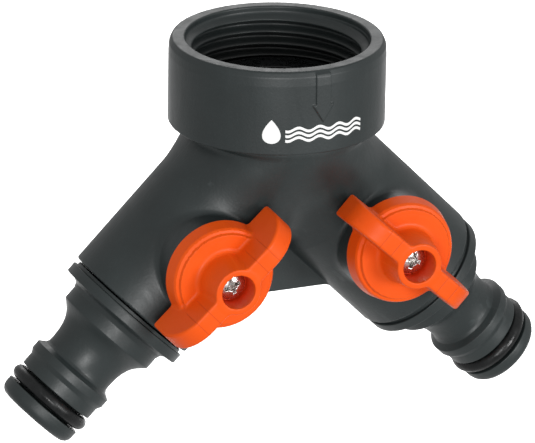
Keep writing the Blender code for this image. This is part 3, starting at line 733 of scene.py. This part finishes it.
def body_plastic():
    """Grey plastic with the parting line of the two mould halves round the arms."""
    f, colour, rough, normal = moulded_grey("body_moulded")
    y = f.axes()[1]
    line = f.spread(f.math("ABSOLUTE", y), 0.00004, 0.00016, 1.0, 0.0)
    colour = f.mix(f.math("MULTIPLY", line, 0.1), colour, (*GREY_WORN, 1.0))
    return f.finish(colour, rough, f.bump(line, 0.00003, 0.3, normal))


def collar_plastic():
    """Grey plastic with painted shade darkening the mouth, and a generic white print: a water drop and ripples."""
    f, colour, rough, normal = moulded_grey("collar_moulded", 0.43)
    x, y, z = f.axes()
    radius = f.radius(x, y)
    azimuth = f.math("ARCTAN2", y, x)
    along = f.math("MULTIPLY", f.math("SUBTRACT", azimuth, MARK_AZIMUTH), COLLAR_R)
    up = f.math("SUBTRACT", f.math("DIVIDE", z, MM), MARK_Z)
    outer = f.math("GREATER_THAN", radius, (COLLAR_R - 0.4) * MM)

    share = f.spread(up, DROP_LOW, DROP_TOP)
    half = f.math("MULTIPLY", f.math("SQRT", share), f.math("SUBTRACT", 1.0, share))
    half = f.math("MULTIPLY", half, DROP_WIDTH)
    drop = f.math("GREATER_THAN", half, f.math("ABSOLUTE", along))

    swing = f.math("SINE", f.math("MULTIPLY", along, 2 * math.pi / RIPPLE_LENGTH))
    wave = f.math("MULTIPLY", swing, RIPPLE_SWING)
    level = f.math("ADD", f.math("SUBTRACT", up, wave), RIPPLE_LOWERED)
    band = f.math("PINGPONG", f.math("ADD", level, RIPPLE_BAND), RIPPLE_FOLD)
    stroke = f.math("GREATER_THAN", band, RIPPLE_GAP)
    stroke = f.math("MULTIPLY", stroke, f.math("LESS_THAN", f.math("ABSOLUTE", level), RIPPLE_BAND))
    length = f.math("MULTIPLY", f.math("GREATER_THAN", along, RIPPLE_START),
                    f.math("LESS_THAN", along, RIPPLE_STOP))
    ripples = f.math("MULTIPLY", stroke, length)
    print_mask = f.math("MULTIPLY", f.math("MAXIMUM", drop, ripples), outer)
    worn = f.spread(f.noise(1500.0, 4.0, 0.7), 0.22, 0.3, 0.5, 1.0)
    print_mask = f.math("MULTIPLY", print_mask, worn)
    # Painted shade: the inner wall of the mouth is darkened more the deeper it lies.
    inside = f.math("LESS_THAN", radius, (MOUTH_R + 0.1) * MM)
    edge_stain_and_painted_mouth_shade = f.math("MULTIPLY", inside, f.spread(z, -THREAD_END * MM, -0.001, 0.75, 0.0))
    colour = f.mix(edge_stain_and_painted_mouth_shade, colour, (0.004, 0.0035, 0.003, 1.0))
    colour = f.mix(print_mask, colour, (0.78, 0.79, 0.78, 1.0))
    rough = f.math("ADD", rough, f.math("MULTIPLY", print_mask, 0.08))
    return f.finish(colour, rough, f.bump(print_mask, 0.00003, 0.5, normal))


def lever_plastic():
    """Orange plastic with painted shade making the screw's well darker and redder, and faint mould lines on wings
    and disc.
    """
    f, colour, rough, normal = moulded("lever_moulded", (0.70, 0.072, 0.003), (0.74, 0.086, 0.005),
                                       (0.76, 0.12, 0.015), 0.4, 2600.0, Specular_IOR_Level=0.18)
    x, y, z = f.axes()
    length = f.math("ABSOLUTE", x)
    lines = 0.0
    for spot in WING_LINES:
        away = f.math("ABSOLUTE", f.math("SUBTRACT", length, spot * MM))
        lines = f.math("MAXIMUM", lines, f.spread(away, 0.00004, 0.0001, 1.0, 0.0))
    lines = f.math("MULTIPLY", lines, f.spread(z, 0.0045, 0.006))
    radius = f.radius(x, y)
    ring = f.math("ABSOLUTE", f.math("SUBTRACT", radius, DISC_LINE_R * MM))
    ring = f.spread(ring, 0.00004, 0.00012, 0.15, 0.0)
    ring = f.math("MULTIPLY", ring, f.math("LESS_THAN", z, 0.0042))
    # Painted shade: the screw's well turns darker and redder towards its floor, standing in for shade and orange
    # bounce light.
    well = f.spread(radius, (COUNTERBORE_R + 0.02) * MM, (COUNTERBORE_R + 0.12) * MM, 1.0, 0.0)
    well = f.math("MULTIPLY", well, f.spread(z, (LEVER_H - 3.5) * MM, (LEVER_H - 0.4) * MM, 1.0, 0.0))
    colour = f.mix(f.math("MULTIPLY", well, 0.75), colour, (0.62, 0.022, 0.006, 1.0))
    lines = f.math("MAXIMUM", lines, ring)
    colour = f.mix(f.math("MULTIPLY", lines, 0.45), colour, (0.5, 0.045, 0.008, 1.0))
    return f.finish(colour, rough, f.bump(f.math("SUBTRACT", 1.0, lines), 0.00005, 0.8, normal))


def rubber():
    """Black rubber, greased: patchy sheen over a fine blasted grain, a little pale dust."""
    f = Finish("black_rubber_skin", Specular_IOR_Level=0.32)
    patch = f.noise(520.0, 5.0, 0.65, 0.6)
    dust = f.spread(f.noise(1900.0, 3.0, 0.7), 0.6, 0.8, 0.0, 0.05)
    colour = f.mix(f.spread(patch, 0.3, 0.7), (0.004, 0.0044, 0.0045, 1.0), (0.008, 0.009, 0.0093, 1.0))
    colour = f.mix(dust, colour, (0.036, 0.04, 0.04, 1.0))
    rough = f.spread(patch, 0.35, 0.68, 0.18, 0.5)
    fine = f.bump(f.noise(3200.0, 2.0), 0.00003, 0.5)
    return f.finish(colour, rough, f.bump(patch, 0.00015, 0.5, fine))


def steel():
    """Bright plated steel with turned rings and small scratches, darker towards the bottom of the head and on the
    recess floor.
    """
    f = Finish("screw_plated", Metallic=1.0)
    x, y, z = f.axes()
    radius = f.radius(x, y)
    rings = f.math("SINE", f.math("MULTIPLY", radius, 52000.0))
    cloud = f.noise(1400.0, 4.0, 0.6)
    scratch = f.noise(900.0, 5.0, 0.7, 2.0, f.stretch((1.0, 6.0, 1.0)))
    colour = f.mix(f.spread(cloud, 0.3, 0.7), (0.66, 0.66, 0.65, 1.0), (0.82, 0.82, 0.82, 1.0))
    # Colour darkened towards the bottom of the head, the recess floor included.
    lower_head_darkening = f.spread(z, 0.0058, 0.0068, 0.75, 0.0)
    colour = f.mix(lower_head_darkening, colour, (0.2, 0.17, 0.14, 1.0))
    rough = f.spread(scratch, 0.3, 0.7, 0.14, 0.32)
    fine = f.bump(rings, 0.000004, 0.6)
    return f.finish(colour, rough, f.bump(cloud, 0.00002, 0.4, fine))


def acetal():
    """White acetal: faint yellow clouding and turned, slightly waxy surface."""
    f = Finish("acetal_turned", Specular_IOR_Level=0.45)
    cloud = f.noise(240.0, 4.0, 0.6)
    colour = f.mix(f.spread(cloud, 0.3, 0.7), (0.74, 0.74, 0.70, 1.0), (0.8, 0.8, 0.78, 1.0))
    edge_stain_and_painted_mouth_shade = f.math("MULTIPLY", f.edges(0.52, 0.62), 0.3)
    colour = f.mix(edge_stain_and_painted_mouth_shade, colour, (0.55, 0.52, 0.45, 1.0))
    rough = f.spread(f.noise(900.0, 3.0), 0.3, 0.7, 0.28, 0.42)
    return f.finish(colour, rough, f.bump(f.noise(2400.0, 2.0), 0.00002, 0.5))


# ---------------------------------------------------------------- pieces

FINISHES = {"grey_plastic": grey_plastic(), "black_rubber": rubber(), "screw_steel": steel(),
            "white_acetal": acetal()}


def attach(piece, body, node, slot, finish=None):
    piece.data.materials.append(finish or FINISHES[slot])
    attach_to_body(piece, body)
    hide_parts(node)


for part in frame["record"]["subparts"]:
    if part["material_slot"] in FINISHES:
        frame["nodes"][part["node"]].material_slots[0].material = FINISHES[part["material_slot"]]

attach(build_body(), "manifold", "manifold_body", "grey_plastic", body_plastic())
attach(build_collar(), "inlet_collar", "inlet_nut", "grey_plastic", collar_plastic())
attach(build_washer(), "manifold", "inlet_washer", "black_rubber")
orange = lever_plastic()
for side, piece in build_levers().items():
    attach(piece, side + "_valve", side + "_lever", "orange_plastic", orange)
for side, piece in build_screws().items():
    attach(piece, side + "_valve", side + "_lever_screw", "screw_steel")
for side in SIDES:
    attach(build_nipple(side), "manifold", side + "_outlet_nipple", "grey_plastic")
    attach(build_oring(side), "manifold", side + "_nipple_oring", "black_rubber")


# ---------------------------------------------------------------- studio

FLOOR_DROP = 0.45
FLOOR_HALF = 6.0
CAMERA_AZIMUTH = math.radians(-22.648)
CAMERA_ELEVATION = math.radians(21.304)
CAMERA_ROLL = math.radians(1.067)
CAMERA_DISTANCE = 1.01564
CAMERA_TARGET_Z = -0.035
CAMERA_LENS = 374.86
CAMERA_SHIFT = (-0.01279, -0.00744)
SENSOR_WIDTH = 36.0
SURROUND = 0.52


def build_floor():
    """Wide sheet of pale paper, well below the part, which hangs from its tap."""
    z = CAD_LOW.z - FLOOR_DROP
    corners = [(-1, -1), (1, -1), (1, 1), (-1, 1)]
    verts = [(x * FLOOR_HALF / MM, y * FLOOR_HALF / MM, z / MM) for x, y in corners]
    floor = make_object("studio_floor", verts, [(0, 1, 2, 3)])
    f = Finish("studio_paper", Roughness=0.9)
    tone = f.spread(f.noise(3.0), 0.3, 0.7)
    colour = f.mix(tone, (0.84, 0.84, 0.84, 1.0), (0.86, 0.86, 0.86, 1.0))
    f.feed(f.shader.inputs["Base Color"], colour)
    floor.data.materials.append(f.mat)


def build_camera():
    data = bpy.data.cameras.new("studio_camera")
    camera = bpy.data.objects.new("studio_camera", data)
    bpy.context.scene.collection.objects.link(camera)
    a, e = CAMERA_AZIMUTH, CAMERA_ELEVATION
    back = Vector((math.sin(a) * math.cos(e), -math.cos(a) * math.cos(e), math.sin(e)))
    right = Vector((math.cos(a), math.sin(a), 0.0))
    up = back.cross(right)
    turn = Matrix((right, up, back)).transposed() @ Matrix.Rotation(CAMERA_ROLL, 3, "Z")
    spot = Vector((0.0, 0.0, CAMERA_TARGET_Z)) + back * CAMERA_DISTANCE
    camera.matrix_world = Matrix.Translation(spot) @ turn.to_4x4()
    data.sensor_width = SENSOR_WIDTH
    data.lens = CAMERA_LENS
    data.shift_x, data.shift_y = CAMERA_SHIFT
    data.clip_start, data.clip_end = 0.05, 20.0
    bpy.context.scene.camera = camera


def area_light(name, spot, size, power, spread, aim=(0.0, 0.0, CAMERA_TARGET_Z)):
    """Rectangular lamp facing aim, in metres, watts and degrees."""
    data = bpy.data.lights.new(name, "AREA")
    data.shape = "RECTANGLE"
    data.size, data.size_y = size
    data.energy = power
    data.spread = math.radians(spread)
    light = bpy.data.objects.new(name, data)
    bpy.context.scene.collection.objects.link(light)
    light.location = spot
    light.rotation_euler = (Vector(spot) - Vector(aim)).to_track_quat("Z", "Y").to_euler()


def build_lights():
    """A bright surround, a key lamp from the right, a fill from the left, a rim lamp from behind,
    and a strong lamp that only whitens the paper behind the part."""
    world = bpy.data.worlds.new("studio_world")
    world.use_nodes = True
    world.node_tree.nodes["Background"].inputs["Color"].default_value = (1.0, 1.0, 1.0, 1.0)
    world.node_tree.nodes["Background"].inputs["Strength"].default_value = SURROUND
    bpy.context.scene.world = world
    bpy.context.scene.view_settings.view_transform = "Standard"
    area_light("key_right", (0.586, -1.257, 0.16), (0.6, 0.6), 0.64, 30.0)
    area_light("front_left", (-0.52, -1.29, 0.16), (0.5, 0.5), 0.45, 30.0)
    area_light("rim_light", (0.52, 1.24, 0.5), (1.2, 0.5), 0.22, 40.0)
    area_light("paper_light", (0.6, 1.5, 0.5), (0.9, 0.9), 11.0, 100.0, aim=(0.5, 1.2, -0.52))


build_floor()
build_camera()
build_lights()
